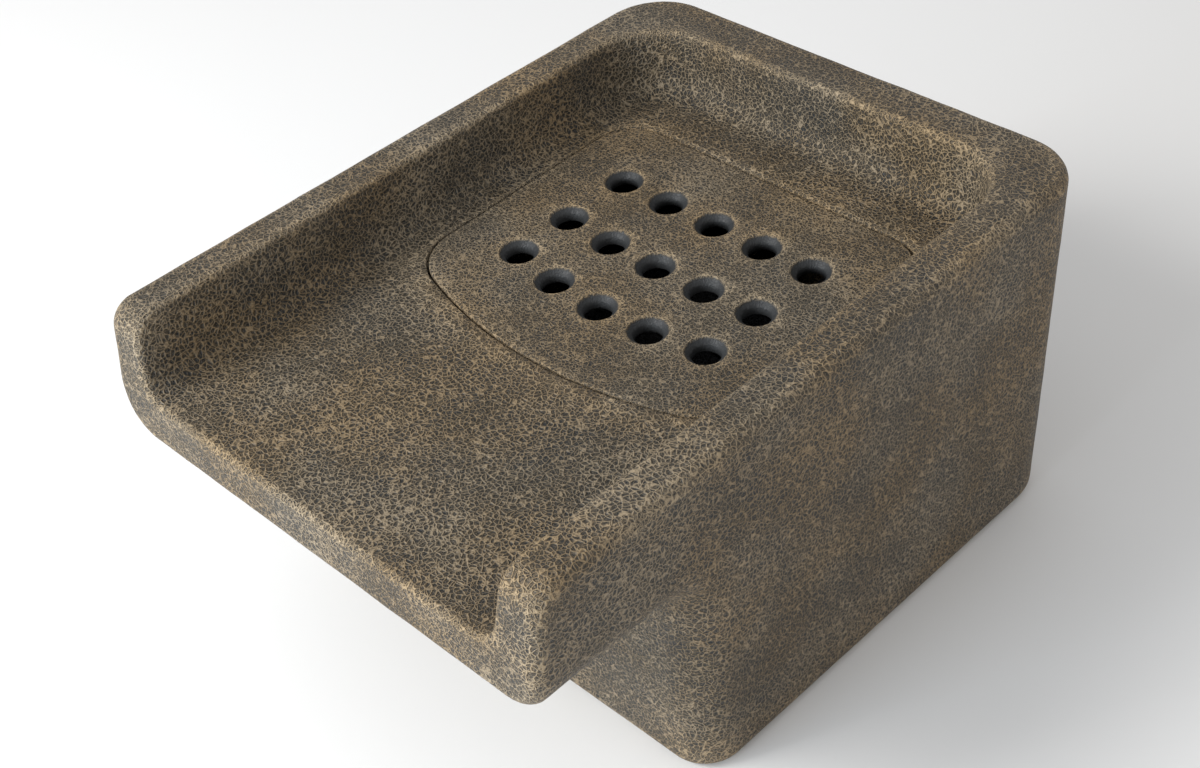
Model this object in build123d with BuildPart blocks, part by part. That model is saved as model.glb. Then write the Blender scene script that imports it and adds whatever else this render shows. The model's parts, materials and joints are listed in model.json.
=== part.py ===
from build123d import *
import math
import os

os.makedirs("parts", exist_ok=True)

# A fountain spillway basin: water enters a hollow chamber at the rear, rises through
# a perforated lid, crosses a tray and spills over a lip that stands out in front.
#
# Frame: millimetres, X across the basin, +Y towards the rear wall, +Z up. The origin
# is the centre of the base, on the ground.

# ---------------------------------------------------------------------------
# Driving dimensions of the body
# ---------------------------------------------------------------------------
width = 400.0  # across the two side walls, at the rim
length = 518.0  # lip to the back of the rear wall, at the rim
height = 278.0  # ground to rim
nose_reach = 124.0  # how far the nose stands out in front of the base
nose_depth = 99.0  # rim down to the underside of the nose
lip_drop = 57.0  # rim down to the tray floor at the lip
floor_rise = 0.014  # rise of the tray floor per millimetre towards the rear
wall_end_setback = 9.0  # lean of the front ends of the side walls
front_draft = 4.0  # lean of the base's front face
rear_draft = 5.5  # lean of the rear face
side_draft = 8.0  # lean of each side face
side_rim_width = 32.0  # thickness of the side walls at the rim
rear_rim_width = 39.0  # thickness of the rear wall at the rim
inner_taper = 6.0  # lean of the walls' inner faces, in degrees
skin = 5.0  # moulded wall thickness

rear_corner_radius = 47.0
tray_corner_radius = 46.0
tray_floor_radius = 18.0
nose_edge_radius = 30.0
outer_edge_radius = 10.0  # front outline and the rim's outer edge
inner_edge_radius = 5.0  # the rim's inner edge, the wall ends and the lip
wall_end_radius = 20.0  # top of a side wall's front end, seen from the side
front_bend_radius = 60.0  # where the front face starts to lean back
junction_radius = 24.0
base_edge_radius = 12.0

# ---------------------------------------------------------------------------
# Lid and its seat
# ---------------------------------------------------------------------------
lid_width = 282.0
lid_depth = 239.0
lid_front = 183.0  # lip to the lid's front edge
lid_front_radius = 350.0  # the lid's front edge is an arc
lid_front_corner = 42.0
lid_rear_corner = 32.0
lid_thickness = 10.0
lid_gap = 1.5  # all round, in the rebate
lid_edge_radius = 1.5
seat_ledge = 16.0  # width of the ledge under the lid's edge
skirt_height = 9.0
skirt_thickness = 3.5
skirt_clearance = 2.0
rib_thickness = 3.0
pad_radius = 5.0
pad_thickness = 2.5
touch_gap = 0.1  # between faces of pieces that part

hole_diameter = 20.0
hole_chamfer = 4.5
hole_pitch = 43.2  # across each row
holes_per_row = 5
row_spacing_rear = 59.0
row_spacing_front = 55.5
rear_row_inset = 60.0  # rear edge of the lid to the rear row
middle_row_curve = 0.35  # share of the front arc's curvature
front_row_curve = 1.0

# ---------------------------------------------------------------------------
# Fittings in the rear wall
# ---------------------------------------------------------------------------
seat_wall = 7.0  # wall thickness at a fitting
fit_clearance = 0.3
gasket_thickness = 2.5
nut_margin = 4.0  # flat boss beyond a nut's corners
flange_margin = 1.5  # flat seat beyond a flange

inlet_x = 0.0
inlet_z = 62.0
inlet_bore = 13.0
inlet_shank_radius = 20.0
inlet_shank_length = 34.0
inlet_flange_radius = 28.0
inlet_flange_thickness = 6.0
inlet_spigot_radius = 19.0
inlet_spigot_length = 15.5
inlet_nut_flats = 56.0
inlet_nut_thickness = 10.0
inlet_washer_thickness = 2.0

elbow_wall = 3.0
elbow_socket = 12.0
elbow_radius = 22.0
elbow_drop = 36.0

tail_collar_radius = 17.5
tail_collar_thickness = 4.5
tail_stem_length = 7.0
tail_bore = 10.0
hose_radius = 12.7
barb_root_radius = 12.0
barb_radius = 13.6
barb_length = 7.0
barb_pitch = 9.0
barb_count = 3
tail_land = 14.0
tail_tip_chamfer = 1.0

union_wall = 6.0
union_lip = 4.7
union_start = 3.5  # gap between the flange and the union nut
union_rib_count = 10
union_rib_radius = 2.5

drain_x = -105.0
drain_z = 44.0
drain_bore = 9.0
drain_shank_radius = 14.0
drain_shank_length = 26.0
drain_flange_radius = 21.0
drain_flange_thickness = 5.0
drain_spigot_radius = 13.0
drain_spigot_length = 14.0
drain_nut_flats = 42.0
drain_nut_thickness = 8.0
drain_washer_thickness = 1.5
cap_wall = 3.7
cap_end = 4.0
cap_start = 2.0  # gap between the flange and the cap
cap_seal_thickness = 2.0
cap_seal_bore = 6.0
cap_rib_count = 8
cap_rib_radius = 2.0

# ---------------------------------------------------------------------------
# Filter media
# ---------------------------------------------------------------------------
media_clearance = 5.0  # to the edge of the lid's opening
grid_thickness = 5.0
grid_height = 72.0  # ground to the top of the grid
grid_slot_width = 9.0
grid_slot_pitch = 16.0
grid_border = 14.0
grid_leg_radius = 8.0
grid_leg_wall = 2.5
grid_leg_inset = 24.0  # from the grid's edge to a leg's centre
leg_gap = 0.2
coarse_mat_thickness = 38.0
fine_mat_thickness = 28.0
mat_gap = 0.2

# ---------------------------------------------------------------------------
# Places worked out from the driving dimensions
# ---------------------------------------------------------------------------
base_length = length - nose_reach
base_rear_y = base_length / 2
base_front_y = -base_length / 2
lip_y = base_front_y - nose_reach
nose_under_z = height - nose_depth
lip_z = height - lip_drop
over = 60.0  # how far a cutting shape runs past the face it opens

tray_angle = math.atan(floor_rise)
tray_normal = (0, -math.sin(tray_angle), math.cos(tray_angle))


def floor_z(y):
    """Height of the tray floor at a place along the basin."""
    return lip_z + floor_rise * (y - lip_y)


def floor_plane(y, below=0.0):
    """A plane in the tray floor, or a distance below it."""
    centre = Vector(0, y, floor_z(y)) - Vector(*tray_normal) * below
    return Plane(origin=centre, x_dir=(1, 0, 0), z_dir=tray_normal)


lid_centre_y = lip_y + lid_front + lid_depth / 2
seat_depth = lid_thickness + pad_thickness + touch_gap
seat_y = base_rear_y - rear_draft - 0.5  # flat seat for the fittings' gaskets


# ---------------------------------------------------------------------------
# Shapes used by more than one piece
# ---------------------------------------------------------------------------
def basin_form(inset):
    """The body's outside as a solid, with every face moved inwards by inset."""
    low, high = inset, height - inset
    half = width / 2 - inset
    with BuildPart() as form:
        with BuildSketch(Plane.YZ):
            with BuildLine():
                FilletPolyline(
                    (base_rear_y, height),
                    (base_rear_y - rear_draft, 0),
                    (base_front_y + front_draft, 0),
                    (base_front_y, nose_under_z),
                    (lip_y, nose_under_z),
                    (lip_y, lip_z),
                    (lip_y + wall_end_setback, height),
                    radius=[0, 0, 0, 0, 0, front_bend_radius, wall_end_radius],
                    close=True,
                )
            make_face()
            if inset > 0:
                offset(amount=-inset, kind=Kind.INTERSECTION)
        extrude(amount=width, both=True)
        with BuildSketch(Plane.XZ):
            with BuildLine():
                Polyline(
                    (-half + side_draft, 0),
                    (half - side_draft, 0),
                    (half, height),
                    (-half, height),
                    close=True,
                )
            make_face()
        extrude(amount=length + over, both=True, mode=Mode.INTERSECT)

        # the two upright corners at the rear
        tall = [e for e in form.edges() if e.bounding_box().size.Z > 0.95 * (high - low)]
        fillet(tall, rear_corner_radius - inset)

        # the hollow corner under the nose
        corner = (0, base_front_y + inset, nose_under_z + inset)
        fillet(form.edges().filter_by(Axis.X).sort_by_distance(corner)[0], junction_radius + inset)

        # the nose's lower side edges, on into the base's front corners
        def under_nose(edge):
            centre = edge.center()
            on_side = abs(centre.X) > half - side_draft - 1
            behind_front = centre.Y > lip_y + inset + 1
            before_base = centre.Y < base_front_y + front_draft + inset + 1
            return on_side and behind_front and before_base and low + 1 < centre.Z < lip_z - inset - 1

        fillet(form.edges().filter_by(under_nose), nose_edge_radius - inset)

        # the front outline, which runs on smoothly into the rim's outer edge
        def nose_front(edge):
            centre = edge.center()
            return centre.Y < lip_y + inset + 2 and centre.Z < lip_z - inset - 1

        fillet(form.edges().filter_by(nose_front), outer_edge_radius - inset)
        fillet(form.edges().group_by(Axis.Z)[0], base_edge_radius - inset)
    return form.part


def tray_form(outset):
    """The space inside the tray as a solid, grown by outset below and at its walls."""
    lean = lip_drop * math.tan(math.radians(inner_taper))
    half = width / 2 - side_rim_width - lean + outset
    front = lip_y - over
    rear = base_rear_y - rear_rim_width - lean + outset
    plane = floor_plane(lip_y, outset)
    with BuildPart() as form:
        with BuildSketch(plane) as outline:
            with Locations((0, (front + rear) / 2 - lip_y)):
                Rectangle(2 * half, rear - front)
            fillet(outline.vertices().group_by(Axis.Y)[-1], tray_corner_radius + outset)
        extrude(amount=lip_drop + outset + over / 4, taper=-inner_taper)
        floor = form.faces().sort_by_distance(plane.origin)[0]
        rounded = [e for e in floor.edges() if e.center().Y > front + 1]
        fillet(rounded, tray_floor_radius + outset)
    return form.part


def lid_outline(plane, grow):
    """The lid's outline on a plane, grown by a distance or, if negative, shrunk."""
    rear = lid_depth / 2
    sagitta = lid_front_radius - math.sqrt(lid_front_radius**2 - (lid_width / 2) ** 2)
    shoulder = -lid_depth / 2 + sagitta
    with BuildSketch(plane) as outline:
        with BuildLine():
            Polyline(
                (-lid_width / 2, shoulder),
                (-lid_width / 2, rear),
                (lid_width / 2, rear),
                (lid_width / 2, shoulder),
            )
            ThreePointArc(
                (lid_width / 2, shoulder), (0, -lid_depth / 2), (-lid_width / 2, shoulder)
            )
        make_face()
        fillet(outline.vertices().group_by(Axis.Y)[0], lid_front_corner)
        fillet(outline.vertices().group_by(Axis.Y)[-1], lid_rear_corner)
        if grow != 0:
            offset(amount=grow)
    return outline.sketch


def hole_places():
    """Centres of the lid's holes, measured on the lid from its centre."""
    rear_row = lid_depth / 2 - rear_row_inset
    rows = [
        (rear_row, 0.0),
        (rear_row - row_spacing_rear, middle_row_curve),
        (rear_row - row_spacing_rear - row_spacing_front, front_row_curve),
    ]
    places = []
    for row_y, curve in rows:
        for number in range(holes_per_row):
            x = (number - (holes_per_row - 1) / 2) * hole_pitch
            places.append((x, row_y + curve * x**2 / (2 * lid_front_radius)))
    return places


def wall_plane(x, z, out):
    """A plane across a fitting's axis, a distance out from the flat seat."""
    return Plane(origin=(x, seat_y + out, z), x_dir=(1, 0, 0), z_dir=(0, 1, 0))


def ring(plane, inner_radius, outer_radius, depth):
    """A flat ring, added to the piece that is being made."""
    with BuildSketch(plane) as section:
        Circle(outer_radius)
        Circle(inner_radius, mode=Mode.SUBTRACT)
    extrude(section.sketch, amount=depth)


def turned(x, z, profile):
    """A turned solid from (distance out, radius) points, added to the open piece."""
    with BuildSketch(Plane(origin=(x, seat_y, z), x_dir=(0, 1, 0), z_dir=(1, 0, 0))) as section:
        with BuildLine():
            Polyline(*profile, close=True)
        make_face()
    revolve(section.sketch, axis=Axis((x, seat_y, z), (0, 1, 0)))


def hex_nut(plane, bore_radius, flats, thickness):
    """A plain hexagon nut, added to the open piece."""
    with BuildSketch(plane) as section:
        RegularPolygon(flats / 2, 6, major_radius=False)
        Circle(bore_radius, mode=Mode.SUBTRACT)
    extrude(section.sketch, amount=thickness)


def grip_ribs(plane, count, pitch_radius, rib_radius, depth):
    """Rounded grip ribs round a cap or a union nut, added to the open piece."""
    with BuildSketch(plane) as section:
        with PolarLocations(pitch_radius, count):
            Circle(rib_radius)
    extrude(section.sketch, amount=depth)


inlet_nut_corner = inlet_nut_flats / math.sqrt(3)
drain_nut_corner = drain_nut_flats / math.sqrt(3)
fittings = [
    (inlet_x, inlet_z, inlet_shank_radius, inlet_flange_radius, inlet_nut_corner),
    (drain_x, drain_z, drain_shank_radius, drain_flange_radius, drain_nut_corner),
]

# ---------------------------------------------------------------------------
# Basin shell
# ---------------------------------------------------------------------------
outside = basin_form(0)
tray_space = tray_form(0)
inside = basin_form(skin)
tray_skin = tray_form(skin)

with BuildPart() as chamber:
    # the hollow between the outside and the tray, less the lid's seat and the bosses
    add(inside)
    add(tray_skin, mode=Mode.SUBTRACT)
    seat_block = lid_outline(floor_plane(lid_centre_y), lid_gap + skin)
    extrude(seat_block, amount=-(seat_depth + skin), mode=Mode.SUBTRACT)
    for x, z, shank_radius, flange_radius, nut_corner in fittings:
        with BuildSketch(wall_plane(x, z, -seat_wall)):
            Circle(nut_corner + nut_margin)
        extrude(amount=over, mode=Mode.SUBTRACT)

with BuildPart() as basin_shell:
    add(outside)
    add(tray_space, mode=Mode.SUBTRACT)

    # the tray's edge, in one run round the rim, down the wall ends and along the lip
    def inner_rim(edge):
        centre = edge.center()
        inside_x = abs(centre.X) < width / 2 - side_rim_width + 1
        return inside_x and centre.Y < base_rear_y - rear_rim_width + 1

    fillet(basin_shell.edges().group_by(Axis.Z)[-1].filter_by(inner_rim), inner_edge_radius)
    add(chamber.part, mode=Mode.SUBTRACT)

    # the lid's rebate, and the opening inside its ledge
    rebate = lid_outline(floor_plane(lid_centre_y), lid_gap)
    extrude(rebate, amount=-seat_depth, mode=Mode.SUBTRACT)
    opening = lid_outline(floor_plane(lid_centre_y), -seat_ledge)
    extrude(opening, amount=-(seat_depth + 2 * skin), mode=Mode.SUBTRACT)

    # flat seats and holes for the fittings
    for x, z, shank_radius, flange_radius, nut_corner in fittings:
        with BuildSketch(wall_plane(x, z, 0)):
            Circle(flange_radius + flange_margin)
        extrude(amount=over, mode=Mode.SUBTRACT)
        with BuildSketch(wall_plane(x, z, -over / 2)):
            Circle(shank_radius + fit_clearance)
        extrude(amount=over, mode=Mode.SUBTRACT)

basin_shell.part.label = "basin_shell"
export_step(basin_shell.part, "parts/basin_shell.step")

# ---------------------------------------------------------------------------
# Lid, and the pads it rests on
# ---------------------------------------------------------------------------
lid_plane = floor_plane(lid_centre_y)
lid_underside = floor_plane(lid_centre_y, lid_thickness)
skirt_outer = -(seat_ledge + skirt_clearance)

with BuildPart() as lid:
    extrude(lid_outline(lid_plane, 0), amount=-lid_thickness)
    top = lid.faces().sort_by(Axis.Z)[-1]
    fillet(top.edges(), lid_edge_radius)

    # the locating skirt under the plate
    extrude(lid_outline(lid_underside, skirt_outer), amount=-skirt_height)
    skirt_hollow = lid_outline(lid_underside, skirt_outer - skirt_thickness)
    extrude(skirt_hollow, amount=-skirt_height, mode=Mode.SUBTRACT)

    # stiffening ribs between the rows and the columns of holes
    rear_row_y = lid_depth / 2 - rear_row_inset
    rib_rows = [
        rear_row_y - row_spacing_rear / 2,
        rear_row_y - row_spacing_rear - row_spacing_front / 2,
    ]
    middle = (holes_per_row - 2) / 2
    rib_columns = [(number - middle) * hole_pitch for number in range(holes_per_row - 1)]
    with BuildSketch(lid_underside) as ribs:
        for row_y in rib_rows:
            with Locations((0, row_y)):
                Rectangle(lid_width, rib_thickness)
        for column_x in rib_columns:
            with Locations((column_x, 0)):
                Rectangle(rib_thickness, lid_depth)
        add(lid_outline(Plane.XY, skirt_outer - skirt_thickness / 2), mode=Mode.INTERSECT)
    extrude(amount=-skirt_height)

    with BuildSketch(lid_plane):
        with Locations(*hole_places()):
            Circle(hole_diameter / 2)
    extrude(amount=-(lid_thickness + skirt_height + 1), mode=Mode.SUBTRACT)
    for x, y in hole_places():
        mouth = lid.edges().sort_by_distance(lid_plane.from_local_coords((x, y, 0)))
        mouth = [e for e in mouth[:4] if e.geom_type == GeomType.CIRCLE][0]
        chamfer(mouth, hole_chamfer)

lid.part.label = "lid"
export_step(lid.part, "parts/lid.step")

pad_line = lid_width / 2 - (seat_ledge - lid_gap) / 2
pad_rear = lid_depth / 2 - (seat_ledge - lid_gap) / 2
with BuildPart() as lid_pads:
    with BuildSketch(floor_plane(lid_centre_y, seat_depth)):
        with Locations(
            (-pad_line, lid_depth / 4),
            (pad_line, lid_depth / 4),
            (-pad_line, -lid_depth / 6),
            (pad_line, -lid_depth / 6),
            (-lid_width / 4, pad_rear),
            (lid_width / 4, pad_rear),
        ):
            Circle(pad_radius)
    extrude(amount=pad_thickness)
lid_pads.part.label = "lid_pads"
export_step(lid_pads.part, "parts/lid_pads.step")

# ---------------------------------------------------------------------------
# Inlet: tank connector, hose tail and diffuser elbow
# ---------------------------------------------------------------------------
inlet_flange_out = gasket_thickness + inlet_flange_thickness
inlet_spigot_end = inlet_flange_out + inlet_spigot_length

with BuildPart() as inlet_body:
    turned(
        inlet_x,
        inlet_z,
        [
            (-inlet_shank_length, inlet_bore),
            (-inlet_shank_length, inlet_shank_radius),
            (gasket_thickness, inlet_shank_radius),
            (gasket_thickness, inlet_flange_radius),
            (inlet_flange_out, inlet_flange_radius),
            (inlet_flange_out, inlet_spigot_radius),
            (inlet_spigot_end, inlet_spigot_radius),
            (inlet_spigot_end, inlet_bore),
        ],
    )
    fillet(inlet_body.edges().filter_by(GeomType.CIRCLE).sort_by(SortBy.RADIUS)[-2:], 1.0)
inlet_body.part.label = "inlet_body"
export_step(inlet_body.part, "parts/inlet_body.step")

with BuildPart() as inlet_gasket:
    ring(
        wall_plane(inlet_x, inlet_z, 0),
        inlet_shank_radius + fit_clearance,
        inlet_flange_radius - 1,
        gasket_thickness,
    )
inlet_gasket.part.label = "inlet_gasket"
export_step(inlet_gasket.part, "parts/inlet_gasket.step")

inlet_washer_in = seat_wall + inlet_washer_thickness
with BuildPart() as inlet_washer:
    ring(
        wall_plane(inlet_x, inlet_z, -inlet_washer_in),
        inlet_shank_radius + fit_clearance,
        inlet_nut_corner,
        inlet_washer_thickness,
    )
inlet_washer.part.label = "inlet_washer"
export_step(inlet_washer.part, "parts/inlet_washer.step")

inlet_nut_in = inlet_washer_in + inlet_nut_thickness
with BuildPart() as inlet_nut:
    hex_nut(
        wall_plane(inlet_x, inlet_z, -inlet_nut_in),
        inlet_shank_radius + fit_clearance,
        inlet_nut_flats,
        inlet_nut_thickness,
    )
inlet_nut.part.label = "inlet_nut"
export_step(inlet_nut.part, "parts/inlet_nut.step")

elbow_outer = inlet_bore + elbow_wall
elbow_turn_y = seat_y - inlet_shank_length - elbow_wall - elbow_radius
with BuildPart() as inlet_elbow:
    with BuildLine() as elbow_route:
        FilletPolyline(
            (inlet_x, seat_y - inlet_shank_length, inlet_z),
            (inlet_x, elbow_turn_y, inlet_z),
            (inlet_x, elbow_turn_y, inlet_z - elbow_drop),
            radius=elbow_radius,
        )
    elbow_start = Plane(origin=(inlet_x, seat_y - inlet_shank_length, inlet_z), z_dir=(0, -1, 0))
    with BuildSketch(elbow_start):
        Circle(elbow_outer)
    sweep(path=elbow_route.line)
    ring(
        elbow_start.offset(-elbow_socket),
        inlet_shank_radius + fit_clearance,
        inlet_shank_radius + elbow_wall,
        elbow_socket + elbow_wall,
    )
    ring(elbow_start, inlet_bore, inlet_shank_radius + elbow_wall, elbow_wall)
    with BuildSketch(elbow_start):
        Circle(inlet_bore)
    sweep(path=elbow_route.line, mode=Mode.SUBTRACT)
inlet_elbow.part.label = "inlet_elbow"
export_step(inlet_elbow.part, "parts/inlet_elbow.step")

collar_start = inlet_spigot_end + gasket_thickness
collar_end = collar_start + tail_collar_thickness
with BuildPart() as hose_seal:
    ring(
        wall_plane(inlet_x, inlet_z, inlet_spigot_end),
        inlet_bore,
        tail_collar_radius,
        gasket_thickness,
    )
hose_seal.part.label = "hose_seal"
export_step(hose_seal.part, "parts/hose_seal.step")

barb_start = collar_end + tail_stem_length
land_start = barb_start + barb_count * barb_pitch
tail_end = land_start + tail_land
barbs = []
for number in range(barb_count):
    root = barb_start + number * barb_pitch
    barbs.append((root, barb_root_radius))
    barbs.append((root + barb_pitch - barb_length, barb_root_radius))
    barbs.append((root + barb_pitch - barb_length, barb_radius))
with BuildPart() as hose_tail:
    turned(
        inlet_x,
        inlet_z,
        [
            (collar_start, tail_bore),
            (collar_start, tail_collar_radius),
            (collar_end, tail_collar_radius),
            (collar_end, barb_root_radius),
            *barbs[1:],
            (land_start, barb_root_radius),
            (land_start, hose_radius),
            (tail_end - tail_tip_chamfer, hose_radius),
            (tail_end, hose_radius - tail_tip_chamfer),
            (tail_end, tail_bore),
        ],
    )
hose_tail.part.label = "hose_tail"
export_step(hose_tail.part, "parts/hose_tail.step")

union_in = inlet_flange_out + union_start
union_out = collar_end + fit_clearance + union_lip
union_radius = inlet_spigot_radius + fit_clearance + union_wall
with BuildPart() as union_nut:
    turned(
        inlet_x,
        inlet_z,
        [
            (union_in, inlet_spigot_radius + fit_clearance),
            (union_in, union_radius),
            (union_out, union_radius),
            (union_out, barb_radius + 2 * fit_clearance),
            (collar_end + fit_clearance, barb_radius + 2 * fit_clearance),
            (collar_end + fit_clearance, inlet_spigot_radius + fit_clearance),
        ],
    )
    grip_ribs(
        wall_plane(inlet_x, inlet_z, union_in + 2),
        union_rib_count,
        union_radius,
        union_rib_radius,
        union_out - union_in - 4,
    )
union_nut.part.label = "union_nut"
export_step(union_nut.part, "parts/union_nut.step")

# ---------------------------------------------------------------------------
# Drain: connector and screw cap
# ---------------------------------------------------------------------------
drain_flange_out = gasket_thickness + drain_flange_thickness
drain_spigot_end = drain_flange_out + drain_spigot_length

with BuildPart() as drain_body:
    turned(
        drain_x,
        drain_z,
        [
            (-drain_shank_length, drain_bore),
            (-drain_shank_length, drain_shank_radius),
            (gasket_thickness, drain_shank_radius),
            (gasket_thickness, drain_flange_radius),
            (drain_flange_out, drain_flange_radius),
            (drain_flange_out, drain_spigot_radius),
            (drain_spigot_end, drain_spigot_radius),
            (drain_spigot_end, drain_bore),
        ],
    )
    fillet(drain_body.edges().filter_by(GeomType.CIRCLE).sort_by(SortBy.RADIUS)[-2:], 1.0)
drain_body.part.label = "drain_body"
export_step(drain_body.part, "parts/drain_body.step")

with BuildPart() as drain_gasket:
    ring(
        wall_plane(drain_x, drain_z, 0),
        drain_shank_radius + fit_clearance,
        drain_flange_radius - 1,
        gasket_thickness,
    )
drain_gasket.part.label = "drain_gasket"
export_step(drain_gasket.part, "parts/drain_gasket.step")

drain_washer_in = seat_wall + drain_washer_thickness
with BuildPart() as drain_washer:
    ring(
        wall_plane(drain_x, drain_z, -drain_washer_in),
        drain_shank_radius + fit_clearance,
        drain_nut_corner,
        drain_washer_thickness,
    )
drain_washer.part.label = "drain_washer"
export_step(drain_washer.part, "parts/drain_washer.step")

drain_nut_in = drain_washer_in + drain_nut_thickness
with BuildPart() as drain_nut:
    hex_nut(
        wall_plane(drain_x, drain_z, -drain_nut_in),
        drain_shank_radius + fit_clearance,
        drain_nut_flats,
        drain_nut_thickness,
    )
drain_nut.part.label = "drain_nut"
export_step(drain_nut.part, "parts/drain_nut.step")

with BuildPart() as drain_seal:
    ring(
        wall_plane(drain_x, drain_z, drain_spigot_end + touch_gap),
        cap_seal_bore,
        drain_spigot_radius,
        cap_seal_thickness,
    )
drain_seal.part.label = "drain_seal"
export_step(drain_seal.part, "parts/drain_seal.step")

cap_in = drain_flange_out + cap_start
cap_floor = drain_spigot_end + cap_seal_thickness + 2 * touch_gap
cap_out = cap_floor + cap_end
cap_radius = drain_spigot_radius + fit_clearance + cap_wall
with BuildPart() as drain_cap:
    turned(
        drain_x,
        drain_z,
        [
            (cap_in, drain_spigot_radius + fit_clearance),
            (cap_in, cap_radius),
            (cap_out, cap_radius),
            (cap_out, 0),
            (cap_floor, 0),
            (cap_floor, drain_spigot_radius + fit_clearance),
        ],
    )
    outer_rims = drain_cap.edges().filter_by(GeomType.CIRCLE).sort_by(Axis.Y)[-1]
    fillet(outer_rims, 1.5)
    grip_ribs(
        wall_plane(drain_x, drain_z, cap_in + 1),
        cap_rib_count,
        cap_radius,
        cap_rib_radius,
        cap_out - cap_in - 4,
    )
drain_cap.part.label = "drain_cap"
export_step(drain_cap.part, "parts/drain_cap.step")

# ---------------------------------------------------------------------------
# Filter media: slotted stand and two mats
# ---------------------------------------------------------------------------
media_edge = -(seat_ledge + media_clearance)
grid_plane = Plane.XY.offset(grid_height).move(Location((0, lid_centre_y, 0)))
leg_x = lid_width / 2 + media_edge - grid_leg_inset
leg_y = lid_depth / 2 + media_edge - grid_leg_inset
slot_run = lid_depth / 2 + media_edge
slot_count = 2 * int((lid_width / 2 + media_edge - grid_border) / grid_slot_pitch) - 1

with BuildPart() as media_grid:
    extrude(lid_outline(grid_plane, media_edge), amount=-grid_thickness)
    with BuildSketch(grid_plane) as slots:
        with GridLocations(grid_slot_pitch, slot_run, slot_count, 2):
            Rectangle(grid_slot_width, slot_run - grid_border)
        add(lid_outline(Plane.XY, media_edge - grid_border), mode=Mode.INTERSECT)
        with GridLocations(2 * leg_x, 2 * leg_y, 2, 2):
            Circle(grid_leg_radius + grid_leg_wall, mode=Mode.SUBTRACT)
    extrude(amount=-grid_thickness, mode=Mode.SUBTRACT)
    with BuildSketch(grid_plane.offset(-grid_thickness)):
        with GridLocations(2 * leg_x, 2 * leg_y, 2, 2):
            Circle(grid_leg_radius)
            Circle(grid_leg_radius - grid_leg_wall, mode=Mode.SUBTRACT)
    extrude(amount=-(grid_height - grid_thickness - skin - leg_gap))
media_grid.part.label = "media_grid"
export_step(media_grid.part, "parts/media_grid.step")

coarse_bottom = mat_gap
with BuildPart() as coarse_mat:
    extrude(lid_outline(grid_plane.offset(coarse_bottom), media_edge), amount=coarse_mat_thickness)
coarse_mat.part.label = "coarse_mat"
export_step(coarse_mat.part, "parts/coarse_mat.step")

fine_bottom = coarse_bottom + coarse_mat_thickness + mat_gap
with BuildPart() as fine_mat:
    extrude(lid_outline(grid_plane.offset(fine_bottom), media_edge), amount=fine_mat_thickness)
fine_mat.part.label = "fine_mat"
export_step(fine_mat.part, "parts/fine_mat.step")
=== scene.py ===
# %% [markdown]
# # Fountain spillway basin
# A moulded basin with a bronze wash over dark stone grain. Water enters a hollow chamber at the
# rear, rises through a perforated lid, crosses the tray and spills over the lip. The shapes come
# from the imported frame; this file gives them their grain, their wear and their finishes.

# %% Load the frame
import json
import math

import bmesh
import bpy
from mathutils import Matrix, Vector, noise
from mathutils.bvhtree import BVHTree


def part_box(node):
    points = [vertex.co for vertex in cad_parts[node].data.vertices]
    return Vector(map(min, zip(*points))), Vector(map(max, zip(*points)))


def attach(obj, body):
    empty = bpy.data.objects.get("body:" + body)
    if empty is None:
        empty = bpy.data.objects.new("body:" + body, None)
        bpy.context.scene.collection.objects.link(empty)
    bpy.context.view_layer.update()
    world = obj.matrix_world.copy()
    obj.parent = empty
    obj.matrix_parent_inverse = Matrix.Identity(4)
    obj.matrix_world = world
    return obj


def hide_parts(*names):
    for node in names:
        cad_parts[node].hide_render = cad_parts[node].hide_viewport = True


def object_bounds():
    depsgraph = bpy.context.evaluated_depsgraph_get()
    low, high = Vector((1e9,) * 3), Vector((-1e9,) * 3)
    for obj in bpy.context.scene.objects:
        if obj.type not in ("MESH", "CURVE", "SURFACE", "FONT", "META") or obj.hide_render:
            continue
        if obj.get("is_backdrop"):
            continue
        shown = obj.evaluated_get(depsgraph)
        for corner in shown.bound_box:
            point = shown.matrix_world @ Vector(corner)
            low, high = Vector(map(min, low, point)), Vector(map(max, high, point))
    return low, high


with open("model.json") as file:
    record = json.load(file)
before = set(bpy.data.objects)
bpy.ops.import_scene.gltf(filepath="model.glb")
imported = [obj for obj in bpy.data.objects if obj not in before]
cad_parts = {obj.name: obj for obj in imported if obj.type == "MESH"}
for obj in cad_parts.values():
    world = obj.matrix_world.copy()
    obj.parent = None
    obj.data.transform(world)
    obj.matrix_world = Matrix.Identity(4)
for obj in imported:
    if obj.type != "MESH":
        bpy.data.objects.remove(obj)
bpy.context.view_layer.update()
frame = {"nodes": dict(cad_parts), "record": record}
nodes = frame["nodes"]

# %% [markdown]
# ## Camera
# The camera stands in front of the basin, to its right and above it, and is rolled a few degrees,
# as a hand-held one is. It is placed from an aim point, two angles and a distance, because those
# are easier to read than a matrix. The three axes below are the camera's own right, up and back.

# %% Camera
AIM = Vector((-0.0497, -0.0260, 0.100))
AZIMUTH = math.radians(48.57)
ELEVATION = math.radians(39.87)
ROLL = math.radians(-6.34)
DISTANCE = 1.3568
LENS = 55.98
SHIFT_X = -0.0085


def camera_axes(azimuth, elevation, roll):
    """The camera's right, up and back directions."""
    level = math.cos(elevation)
    back = Vector((math.sin(azimuth) * level, -math.cos(azimuth) * level, math.sin(elevation)))
    right = Vector((math.cos(azimuth), math.sin(azimuth), 0.0))
    up = back.cross(right)
    rolled_right = right * math.cos(roll) + up * math.sin(roll)
    rolled_up = up * math.cos(roll) - right * math.sin(roll)
    return rolled_right, rolled_up, back


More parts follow.
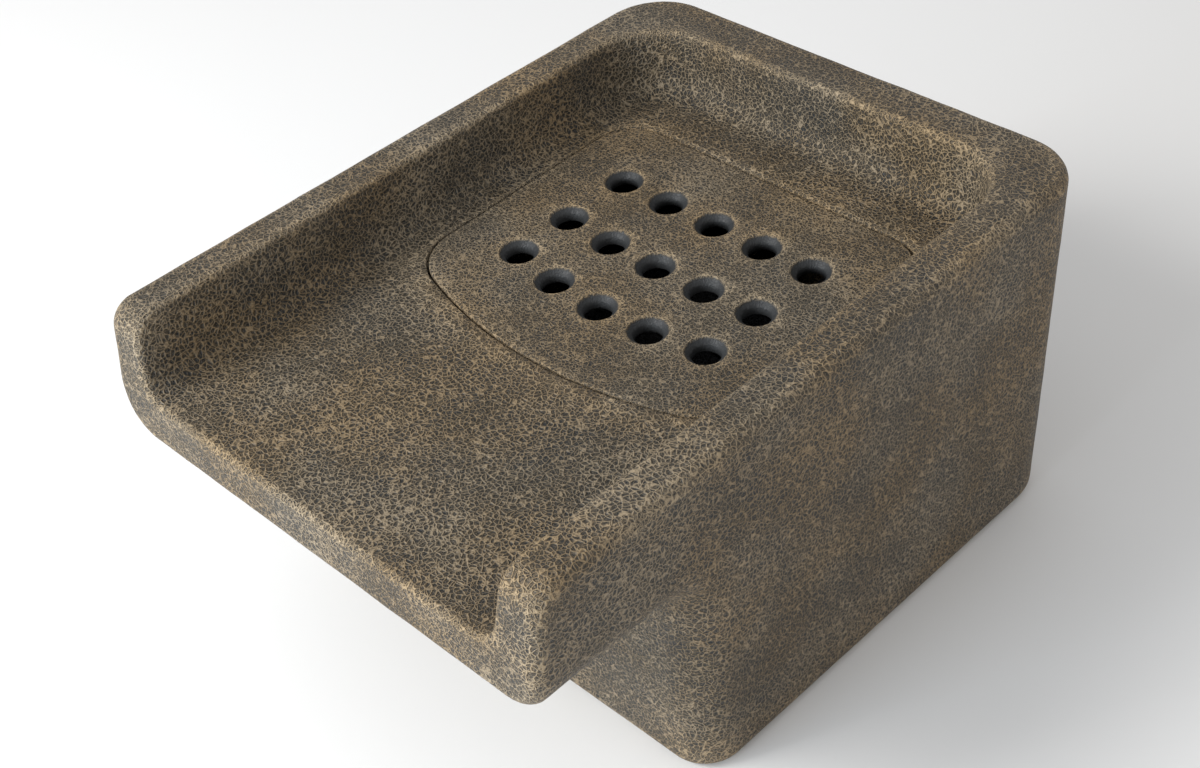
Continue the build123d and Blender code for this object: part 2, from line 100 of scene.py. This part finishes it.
right, up, back = camera_axes(AZIMUTH, ELEVATION, ROLL)
camera_data = bpy.data.cameras.new("camera")
camera_data.lens = LENS
camera_data.shift_x = SHIFT_X
camera = bpy.data.objects.new("camera", camera_data)
turn = Matrix((right, up, back)).transposed().to_4x4()
camera.matrix_world = Matrix.Translation(AIM + back * DISTANCE) @ turn
bpy.context.scene.collection.objects.link(camera)
bpy.context.scene.camera = camera

# %% [markdown]
# ## Floor and light
# A pale floor and a pale sky give soft light from everywhere. One large lamp at the front left
# and above lights the lip, the front of the base and the tops, and leaves the inside of the left
# wall and the right side darker, which is what shows the basin's form.

# %% Floor, sky and lamps
FLOOR_SIZE = 12.0


def plain_material(name, colour, roughness):
    """A single-colour material, for the stage only."""
    material = bpy.data.materials.new(name)
    material.use_nodes = True
    shader = material.node_tree.nodes["Principled BSDF"]
    shader.inputs["Base Color"].default_value = (*colour, 1.0)
    shader.inputs["Roughness"].default_value = roughness
    return material


def area_lamp(name, place, aim, size, power, colour):
    """A square soft lamp, aimed at a point."""
    data = bpy.data.lights.new(name, "AREA")
    data.size = size
    data.energy = power
    data.color = colour
    lamp = bpy.data.objects.new(name, data)
    direction = Vector(aim) - Vector(place)
    lamp.location = place
    lamp.rotation_euler = direction.to_track_quat("-Z", "Y").to_euler()
    bpy.context.scene.collection.objects.link(lamp)
    return lamp


floor_mesh = bpy.data.meshes.new("floor")
bm = bmesh.new()
bmesh.ops.create_grid(bm, x_segments=1, y_segments=1, size=FLOOR_SIZE / 2)
bm.to_mesh(floor_mesh)
bm.free()
floor = bpy.data.objects.new("floor", floor_mesh)
bpy.context.scene.collection.objects.link(floor)
floor_mesh.materials.append(plain_material("pale_floor", (0.88, 0.88, 0.88), 0.9))
floor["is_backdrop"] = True

world = bpy.data.worlds.new("pale_sky")
world.use_nodes = True
world.node_tree.nodes["Background"].inputs["Color"].default_value = (1.0, 1.0, 1.0, 1.0)
world.node_tree.nodes["Background"].inputs["Strength"].default_value = 0.58
bpy.context.scene.world = world
area_lamp("key", (-1.1, -2.0, 1.9), (0, -0.1, 0.15), 1.1, 62.0, (1.0, 0.99, 0.97))
area_lamp("low_front", (-0.2, -2.2, 0.5), (0, -0.2, 0.12), 1.2, 34.0, (0.80, 0.90, 1.0))
area_lamp("right_side", (2.2, -0.4, 1.0), (0, 0, 0.12), 1.4, 3.0, (1.0, 0.85, 0.65))
bpy.context.scene.view_settings.view_transform = "Standard"

# %% [markdown]
# ## Small helpers for node materials
# A node material is a chain of small sums. Each helper adds one node, feeds it either numbers or
# other nodes' outputs, and hands back its output, so a finish reads as a list of steps.

# %% Node helpers
def feed(tree, socket, value):
    """Links an output to a socket, or sets the socket to a plain value."""
    if isinstance(value, bpy.types.NodeSocket):
        tree.links.new(value, socket)
    else:
        socket.default_value = value


def new_material(name):
    """An empty node material and its main shader."""
    material = bpy.data.materials.new(name)
    material.use_nodes = True
    return material, material.node_tree, material.node_tree.nodes["Principled BSDF"]


def place_on_piece(tree):
    """Places on the piece in metres."""
    return tree.nodes.new("ShaderNodeTexCoord").outputs["Object"]


def sum_of(tree, operation, first, second=0.0, clamp=False):
    """One arithmetic step."""
    node = tree.nodes.new("ShaderNodeMath")
    node.operation = operation
    node.use_clamp = clamp
    feed(tree, node.inputs[0], first)
    feed(tree, node.inputs[1], second)
    return node.outputs[0]


def vector_step(tree, operation, first, second):
    """One step of vector arithmetic."""
    node = tree.nodes.new("ShaderNodeVectorMath")
    node.operation = operation
    feed(tree, node.inputs[0], first)
    feed(tree, node.inputs[1], second)
    return node.outputs[0]


def ramp(tree, value, low, high, new_low=0.0, new_high=1.0):
    """A smooth step from one range to another."""
    node = tree.nodes.new("ShaderNodeMapRange")
    node.interpolation_type = "SMOOTHSTEP"
    feed(tree, node.inputs["Value"], value)
    feed(tree, node.inputs["From Min"], low)
    feed(tree, node.inputs["From Max"], high)
    feed(tree, node.inputs["To Min"], new_low)
    feed(tree, node.inputs["To Max"], new_high)
    return node.outputs["Result"]


def mixed(tree, share, first, second):
    """A mix of two colours."""
    node = tree.nodes.new("ShaderNodeMix")
    node.data_type = "RGBA"
    feed(tree, node.inputs["Factor"], share)
    feed(tree, node.inputs["A"], first)
    feed(tree, node.inputs["B"], second)
    return node.outputs["Result"]


def cloud(tree, place, spacing, detail=2.0, roughness=0.5, colour=False):
    """Soft noise with blobs about one spacing apart, in metres."""
    node = tree.nodes.new("ShaderNodeTexNoise")
    feed(tree, node.inputs["Vector"], place)
    node.inputs["Scale"].default_value = 1.0 / spacing
    node.inputs["Detail"].default_value = detail
    node.inputs["Roughness"].default_value = roughness
    return node.outputs["Color" if colour else "Fac"]


def cells(tree, place, spacing, feature="DISTANCE_TO_EDGE"):
    """Cells one spacing apart, as the distance from their edges or centres."""
    node = tree.nodes.new("ShaderNodeTexVoronoi")
    node.feature = feature
    feed(tree, node.inputs["Vector"], place)
    node.inputs["Scale"].default_value = 1.0 / spacing
    return node.outputs["Distance"]


def bumped(tree, shader, height, distance, strength=1.0):
    """Feeds a height to the shader's normal."""
    node = tree.nodes.new("ShaderNodeBump")
    feed(tree, node.inputs["Height"], height)
    node.inputs["Distance"].default_value = distance
    node.inputs["Strength"].default_value = strength
    feed(tree, shader.inputs["Normal"], node.outputs["Normal"])


def attribute(tree, name):
    """A number kept on the mesh's points."""
    node = tree.nodes.new("ShaderNodeAttribute")
    node.attribute_name = name
    return node.outputs["Fac"]


# %% [markdown]
# ## The stone finish
# The skin is moulded plastic with a leathery grain: small dark pits with worm-like ridges
# between them. It is dark blue-grey, and a dry brush of bronze paint was dragged over it, so
# that only the ridges and the worn edges took the paint. Cells with their edges kept give the
# ridges, and soft noise bends them, so that they wander. The same ridges
# drive the colour and the bump, because paint and relief belong together.

# %% Stone finish
BRONZE = (0.350, 0.250, 0.138, 1.0)
BRONZE_PALE = (0.360, 0.285, 0.190, 1.0)
SLATE = (0.011, 0.014, 0.016, 1.0)
UMBER = (0.018, 0.016, 0.012, 1.0)
BARE_CONE = (0.026, 0.028, 0.030, 1.0)
BEND_SPACING = 2.4  # in grains
BEND_REACH = 1.7  # in grains


def stone(name, grain, relief, paint):
    """Dark moulded grain with bronze paint on its ridges.

    grain is the spacing of the pits, relief their depth, both in metres, and paint is how much
    of the ridges the dry brush reached.
    """
    material, tree, shader = new_material(name)
    place = place_on_piece(tree)

    # bend the places, so that the ridges wander
    drift = cloud(tree, place, grain * BEND_SPACING, 1.0, colour=True)
    bend = vector_step(tree, "SUBTRACT", drift, (0.5, 0.5, 0.5))
    bend = vector_step(tree, "MULTIPLY", bend, (grain * BEND_REACH,) * 3)
    bent = vector_step(tree, "ADD", place, bend)

    broad = cells(tree, bent, grain)
    fine = cells(tree, bent, grain * 0.55)
    crumbs = cloud(tree, place, grain * 0.35, 2.0)
    patches = cloud(tree, place, 0.060, 3.0, 0.6)
    ridge_width = ramp(tree, patches, 0.30, 0.70, 0.17, 0.27)
    broad_ridge = ramp(tree, broad, 0.02, ridge_width, 1.0, 0.0)
    fine_ridge = ramp(tree, fine, 0.02, 0.18, 0.35, 0.0)
    ridge = sum_of(tree, "MAXIMUM", broad_ridge, fine_ridge)
    crumble = ramp(tree, crumbs, 0.30, 0.60, 0.55, 1.0)
    painted = sum_of(tree, "MULTIPLY", ridge, crumble)

    # the brush reached more on some patches, and all of the worn edges
    reach = ramp(tree, patches, 0.25, 0.75, paint * 0.80, paint)
    wear = attribute(tree, "wear")
    reach = sum_of(tree, "ADD", reach, sum_of(tree, "MULTIPLY", wear, 0.45))
    painted = sum_of(tree, "MULTIPLY", painted, reach, clamp=True)
    rubbed = sum_of(tree, "MULTIPLY", wear, ramp(tree, crumbs, 0.42, 0.60, 0.0, 0.75))
    painted = sum_of(tree, "MAXIMUM", painted, rubbed)

    ground = mixed(tree, ramp(tree, cloud(tree, place, 0.035, 2.0), 0.35, 0.65), SLATE, UMBER)
    bronze = mixed(tree, ramp(tree, cloud(tree, place, 0.090, 2.0), 0.35, 0.65), BRONZE, BRONZE_PALE)
    colour = mixed(tree, painted, ground, bronze)
    plain = attribute(tree, "plain")
    colour = mixed(tree, plain, colour, BARE_CONE)
    feed(tree, shader.inputs["Base Color"], colour)
    feed(tree, shader.inputs["Roughness"], ramp(tree, painted, 0.0, 1.0, 0.50, 0.66))
    shader.inputs["Specular IOR Level"].default_value = 0.42

    height = sum_of(tree, "ADD", ridge, sum_of(tree, "MULTIPLY", crumbs, 0.5))
    soft = sum_of(tree, "SUBTRACT", 1.0, sum_of(tree, "MULTIPLY", plain, 0.85))
    bumped(tree, shader, sum_of(tree, "MULTIPLY", height, soft), relief)
    return material


stone_body = stone("stone_body", 0.0032, 0.0014, 0.84)
stone_lid = stone("stone_lid", 0.0026, 0.0008, 0.80)

# %% [markdown]
# ## Moulded plastic, rubber and foam
# The fittings are satin moulded plastic with a faint orange-peel skin, the gaskets are matt
# rubber with a dusty bloom, and the mats are open-cell foam, whose pores are cells seen from
# their centres, with painted shade in them. Each has its own function, so that the spacing of its
# grain is a plain number.

# %% Plastic, rubber and foam
def moulded_plastic(name, colour, roughness):
    """Satin moulded plastic with an orange-peel skin and faint dust."""
    material, tree, shader = new_material(name)
    place = place_on_piece(tree)
    peel = cloud(tree, place, 0.0011, 2.0)
    dust = cloud(tree, place, 0.022, 4.0, 0.65)
    dusty = tuple(0.72 * channel + 0.03 for channel in colour)
    shade = mixed(tree, ramp(tree, dust, 0.42, 0.75), (*colour, 1.0), (*dusty, 1.0))
    feed(tree, shader.inputs["Base Color"], shade)
    feed(tree, shader.inputs["Roughness"], ramp(tree, dust, 0.3, 0.7, roughness, roughness + 0.14))
    bumped(tree, shader, peel, 0.00008)
    return material


def rubber(name):
    """Matt black rubber with a grey bloom."""
    material, tree, shader = new_material(name)
    place = place_on_piece(tree)
    bloom = cloud(tree, place, 0.009, 4.0, 0.6)
    clean = (0.018, 0.018, 0.018, 1.0)
    dusty = (0.050, 0.050, 0.048, 1.0)
    shade = mixed(tree, ramp(tree, bloom, 0.35, 0.75), clean, dusty)
    feed(tree, shader.inputs["Base Color"], shade)
    shader.inputs["Roughness"].default_value = 0.82
    bumped(tree, shader, cloud(tree, place, 0.0016, 3.0), 0.00012)
    return material


def foam(name, colour, pore):
    """Open-cell foam: painted shade in the pores, between lighter struts."""
    material, tree, shader = new_material(name)
    place = place_on_piece(tree)
    holes = cells(tree, place, pore, "F1")
    strut = ramp(tree, holes, 0.25, 0.62)
    # painted shade: the pores are coloured darker, standing in for the shade that falls inside them
    pore_shade = tuple(0.22 * channel for channel in colour)
    worn = tuple(0.8 * channel for channel in colour)
    patches = ramp(tree, cloud(tree, place, 0.03, 3.0), 0.35, 0.7)
    tint = mixed(tree, patches, (*colour, 1.0), (*worn, 1.0))
    feed(tree, shader.inputs["Base Color"], mixed(tree, strut, (*pore_shade, 1.0), tint))
    shader.inputs["Roughness"].default_value = 0.92
    bumped(tree, shader, strut, pore * 0.7)
    return material


finishes = {
    "seal_rubber": rubber("seal_rubber"),
    "fitting_grey": moulded_plastic("fitting_grey", (0.16, 0.16, 0.165), 0.42),
    "fitting_black": moulded_plastic("fitting_black", (0.022, 0.022, 0.024), 0.38),
    "grid_black": moulded_plastic("grid_black", (0.03, 0.03, 0.032), 0.55),
    "coarse_foam": foam("coarse_foam", (0.045, 0.045, 0.05), 0.0032),
    "fine_foam": foam("fine_foam", (0.022, 0.023, 0.026), 0.0019),
}

# %% [markdown]
# ## Finishes on the plain pieces
# The fittings, seals and the filter stand keep the shapes that the frame gives them. Each node's
# slot is named in the record, so a loop can hand out the finishes.

# %% Hand out the finishes
slot_of = {part["node"]: part["material_slot"] for part in frame["record"]["subparts"]}
for name, node in nodes.items():
    finish = finishes.get(slot_of[name])
    if finish:
        node.data.materials.clear()
        node.data.materials.append(finish)
print("finishes:", sorted(finishes))

# %% [markdown]
# ## Dense copies of the shell and the lid
# The frame's meshes have as few triangles as their shape allows, so a flat side is two long
# ones. Wear and waviness need points all over. One way is a voxel remesh, but it would blur the
# thin seam round the lid. Halving long edges keeps the creases, but also keeps each needle-thin
# triangle and multiplies it. So flat faces are joined into clean polygons first, and evenly
# spaced planes cut everything. A face counts as seen if its outward ray meets nothing, or if it
# is above the tray floor, and only points of seen faces are moved.

# %% Dense copies
FLAT_ANGLE = math.radians(0.05)


def copy_of(node_name):
    """The node's mesh with its loose triangles joined, as a bmesh."""
    bm = bmesh.new()
    bm.from_mesh(nodes[node_name].data)
    bmesh.ops.remove_doubles(bm, verts=bm.verts, dist=1e-6)
    bm.faces.ensure_lookup_table()
    return bm


def mark_seen(bm, always):
    """Marks the faces that can be seen, on a face layer."""
    seen = bm.faces.layers.int.new("seen")
    tree = BVHTree.FromBMesh(bm)
    for face in bm.faces:
        centre = face.calc_center_median()
        hit = tree.ray_cast(centre + face.normal * 1e-5, face.normal)[0]
        face[seen] = 1 if hit is None or always(centre) else 0
    return seen


def cut_evenly(bm, spacing, sliver):
    """Joins flat faces into clean polygons, then cuts everything with evenly spaced planes.

    Points closer than the sliver are joined, because moving them would fold their faces over.
    """
    edges = [edge for edge in bm.edges if edge.is_manifold and edge.calc_face_angle(1.0) < FLAT_ANGLE]
    bmesh.ops.dissolve_edges(bm, edges=edges, use_verts=False, use_face_split=False)
    for axis in range(3):
        heights = [vert.co[axis] for vert in bm.verts]
        low, high = min(heights), max(heights)
        count = int((high - low) / spacing)
        for step in range(1, count):
            place = Vector((0.0, 0.0, 0.0))
            place[axis] = low + (high - low) * step / count
            normal = Vector((0.0, 0.0, 0.0))
            normal[axis] = 1.0
            everything = bm.verts[:] + bm.edges[:] + bm.faces[:]
            bmesh.ops.bisect_plane(bm, geom=everything, dist=1e-7, plane_co=place, plane_no=normal)
    bmesh.ops.triangulate(bm, faces=bm.faces)
    bmesh.ops.remove_doubles(bm, verts=bm.verts, dist=sliver)
    bmesh.ops.dissolve_degenerate(bm, edges=bm.edges, dist=sliver / 10)
    bmesh.ops.triangulate(bm, faces=bm.faces)


def convexity(bm):
    """How sharply each point stands out, in one over metres."""
    bm.normal_update()
    bent = {}
    for vert in bm.verts:
        total = 0.0
        for edge in vert.link_edges:
            other = edge.other_vert(vert)
            step = other.co - vert.co
            total += (other.normal - vert.normal).dot(step) / max(step.length_squared, 1e-12)
        bent[vert] = total / max(len(vert.link_edges), 1)
    return bent


def blurred(bm, values, rounds):
    """The values, each averaged with its neighbours' a few times."""
    for _ in range(rounds):
        fresh = {}
        for vert in bm.verts:
            around = [values[edge.other_vert(vert)] for edge in vert.link_edges]
            fresh[vert] = 0.5 * values[vert] + 0.5 * sum(around) / max(len(around), 1)
        values = fresh
    return values


def finished_piece(bm, name, material, wear, plain):
    """Writes the bmesh to an object, with its wear and its plain places on the points."""
    mesh = bpy.data.meshes.new(name)
    bm.verts.index_update()
    wear_list = [wear[vert] for vert in bm.verts]
    plain_list = [plain[vert] for vert in bm.verts]
    for face in bm.faces:
        face.smooth = True
    bm.to_mesh(mesh)
    bm.free()
    mesh.attributes.new("wear", "FLOAT", "POINT").data.foreach_set("value", wear_list)
    mesh.attributes.new("plain", "FLOAT", "POINT").data.foreach_set("value", plain_list)
    mesh.materials.append(material)
    piece = bpy.data.objects.new(name, mesh)
    bpy.context.scene.collection.objects.link(piece)
    print(name, len(mesh.polygons), "faces")
    return piece


# %% [markdown]
# ## The shell
# Its sides are never quite flat: the mould left slow waves and shallow dents. Each point is moved
# inwards along its normal by two sizes of soft noise, never outwards, so that the shell stays
# inside the frame's own box. Points on the ground, in the lid's rebate and round
# the fittings stay where they are, because other pieces meet them there.

# %% Shell
WAVE = 0.0006
WAVE_SPACING = 0.034
DENT = 0.00028
DENT_SPACING = 0.0085
WEAR_START = 14.0
WEAR_FULL = 60.0
SHELL_SPACING = 0.011
GROUND_STILL = 0.001
GROUND_FREE = 0.012
GASKET_STILL = 0.003
GASKET_FREE = 0.012
REAR_STARTS = 0.1
REBATE_TOP = 0.0003
REBATE_DEPTH = 0.02
REBATE_MARGIN = 0.004
SHELL_SLIVER = 0.00012

lid_low, lid_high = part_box("lid")
shell_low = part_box("basin_shell")[0]
FLOOR_RISE = 0.014
lip_floor = lid_high.z - FLOOR_RISE * (lid_high.y - shell_low.y)


def tray_floor(y):
    """Height of the tray floor at a place along the basin."""
    return lip_floor + FLOOR_RISE * (y - shell_low.y)


def in_tray(point):
    """True for places at or above the tray floor, inside the walls."""
    return point.z > tray_floor(point.y) - 0.0005


def stepped(value, low, high):
    """0 below low, 1 above high, smooth between."""
    share = min(max((value - low) / (high - low), 0.0), 1.0)
    return share * share * (3.0 - 2.0 * share)


gasket_places = []
for gasket in ("inlet_gasket", "drain_gasket"):
    low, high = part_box(gasket)
    gasket_places.append(((low + high) / 2, (high.x - low.x) / 2))


def freedom(point):
    """1 where a point may move, 0 where another piece meets it."""
    free = stepped(point.z, GROUND_STILL, GROUND_FREE)
    for centre, reach in gasket_places:
        away = math.hypot(point.x - centre.x, point.z - centre.z)
        if point.y > REAR_STARTS:
            free *= stepped(away, reach + GASKET_STILL, reach + GASKET_FREE)
    depth = tray_floor(point.y) - point.z
    below = REBATE_TOP < depth < REBATE_DEPTH
    inside = lid_low.x - REBATE_MARGIN < point.x < lid_high.x + REBATE_MARGIN
    inside = inside and lid_low.y - REBATE_MARGIN < point.y < lid_high.y + REBATE_MARGIN
    if below and inside:
        free = 0.0
    return free


bm = copy_of("basin_shell")
cut_evenly(bm, SHELL_SPACING, SHELL_SLIVER)
seen = mark_seen(bm, in_tray)
sharp = convexity(bm)
wear = {vert: stepped(sharp[vert], WEAR_START, WEAR_FULL) for vert in bm.verts}
wear = blurred(bm, wear, 2)
plain = {vert: 0.0 for vert in bm.verts}
moves = []
for vert in bm.verts:
    if not any(face[seen] for face in vert.link_faces):
        continue
    wave = (noise.noise(vert.co / WAVE_SPACING) - 1.0) * WAVE / 2
    dent = (noise.noise(vert.co / DENT_SPACING) - 1.0) * DENT / 2
    moves.append((vert, vert.normal * (wave + dent) * freedom(vert.co)))
for vert, move in moves:
    vert.co += move
skin = finished_piece(bm, "basin_skin", stone_body, wear, plain)
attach(skin, "basin")
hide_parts("basin_shell")

# %% [markdown]
# ## The lid
# The lid has a finer grain than the shell, because it was moulded in a tool of its own. Its
# countersunk holes are smooth and bare, with a worn bronze ring where the brush caught their
# mouths. The cones are the only steep faces that lie in small separate islands, so their middles
# are found on the mesh.

# %% Lid
LID_SPACING = 0.008
LID_SLIVER = 0.00027
HOLE_SPAN = 0.04
CONE_STEEP = (0.55, 0.85)


def hole_middles(bm):
    """Middles of the countersunk holes, found from the islands of cone faces."""
    cone = {
        face
        for face in bm.faces
        if CONE_STEEP[0] < face.normal.z < CONE_STEEP[1]
    }
    middles = []
    while cone:
        island = []
        queue = [cone.pop()]
        while queue:
            face = queue.pop()
            island.append(face)
            for edge in face.edges:
                for other in edge.link_faces:
                    if other in cone:
                        cone.remove(other)
                        queue.append(other)
        points = [vert.co for face in island for vert in face.verts]
        low = Vector([min(point[axis] for point in points) for axis in range(3)])
        high = Vector([max(point[axis] for point in points) for axis in range(3)])
        if max(high - low) < HOLE_SPAN and min(high.x - low.x, high.y - low.y) > HOLE_SPAN / 2:
            middles.append(((low + high) / 2, (high.x - low.x) / 2))
    return middles


bm = copy_of("lid")
holes = hole_middles(bm)
print("holes:", len(holes))
cut_evenly(bm, LID_SPACING, LID_SLIVER)
seen = mark_seen(bm, lambda point: False)
sharp = convexity(bm)
wear = {vert: stepped(sharp[vert], WEAR_START, WEAR_FULL * 2) * 0.5 for vert in bm.verts}
plain = {vert: 0.0 for vert in bm.verts}
for vert in bm.verts:
    for middle, mouth_radius in holes:
        away = math.hypot(vert.co.x - middle.x, vert.co.y - middle.y)
        if away > mouth_radius + 0.004:
            continue
        depth = tray_floor(vert.co.y) - vert.co.z
        if away < mouth_radius - 0.0004 or depth > 0.0006:
            plain[vert] = 1.0
            wear[vert] = 0.0
        else:
            wear[vert] = 1.0 - stepped(away, mouth_radius, mouth_radius + 0.0025)
moves = []
for vert in bm.verts:
    if plain[vert] or not any(face[seen] for face in vert.link_faces):
        continue
    wave = (noise.noise(vert.co / WAVE_SPACING) - 1.0) * WAVE / 4
    moves.append((vert, vert.normal * wave))
for vert, move in moves:
    vert.co += move
lid_skin = finished_piece(bm, "lid_skin", stone_lid, wear, plain)
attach(lid_skin, "lid")
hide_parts("lid")

# %% [markdown]
# ## The filter mats
# Cut foam is soft at its edges and never quite flat. The frame holds each mat as a plain block,
# so a copy is divided and its surface is drawn in by soft noise. It is only drawn in, never
# pushed out, so each mat stays inside its block and still fits the chamber.

# %% Filter mats
MAT_SPACING = 0.010
MAT_SLIVER = 0.0001
MAT_HOLLOW = 0.0022
MAT_HOLLOW_SPACING = 0.018

for node_name, piece_name, slot_name in (
    ("coarse_mat", "coarse_foam_mat", "coarse_foam"),
    ("fine_mat", "fine_foam_mat", "fine_foam"),
):
    bm = copy_of(node_name)
    cut_evenly(bm, MAT_SPACING, MAT_SLIVER)
    bm.normal_update()
    moves = []
    for vert in bm.verts:
        draw = (noise.noise(vert.co / MAT_HOLLOW_SPACING) - 1.0) * MAT_HOLLOW / 2
        moves.append((vert, vert.normal * draw))
    for vert, move in moves:
        vert.co += move
    none = {vert: 0.0 for vert in bm.verts}
    mat = finished_piece(bm, piece_name, finishes[slot_name], none, none)
    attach(mat, "media")
    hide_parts(node_name)

# %% [markdown]
# ## Close
# The box of the finished model is found, without the floor.

# %% Finish
low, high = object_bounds()
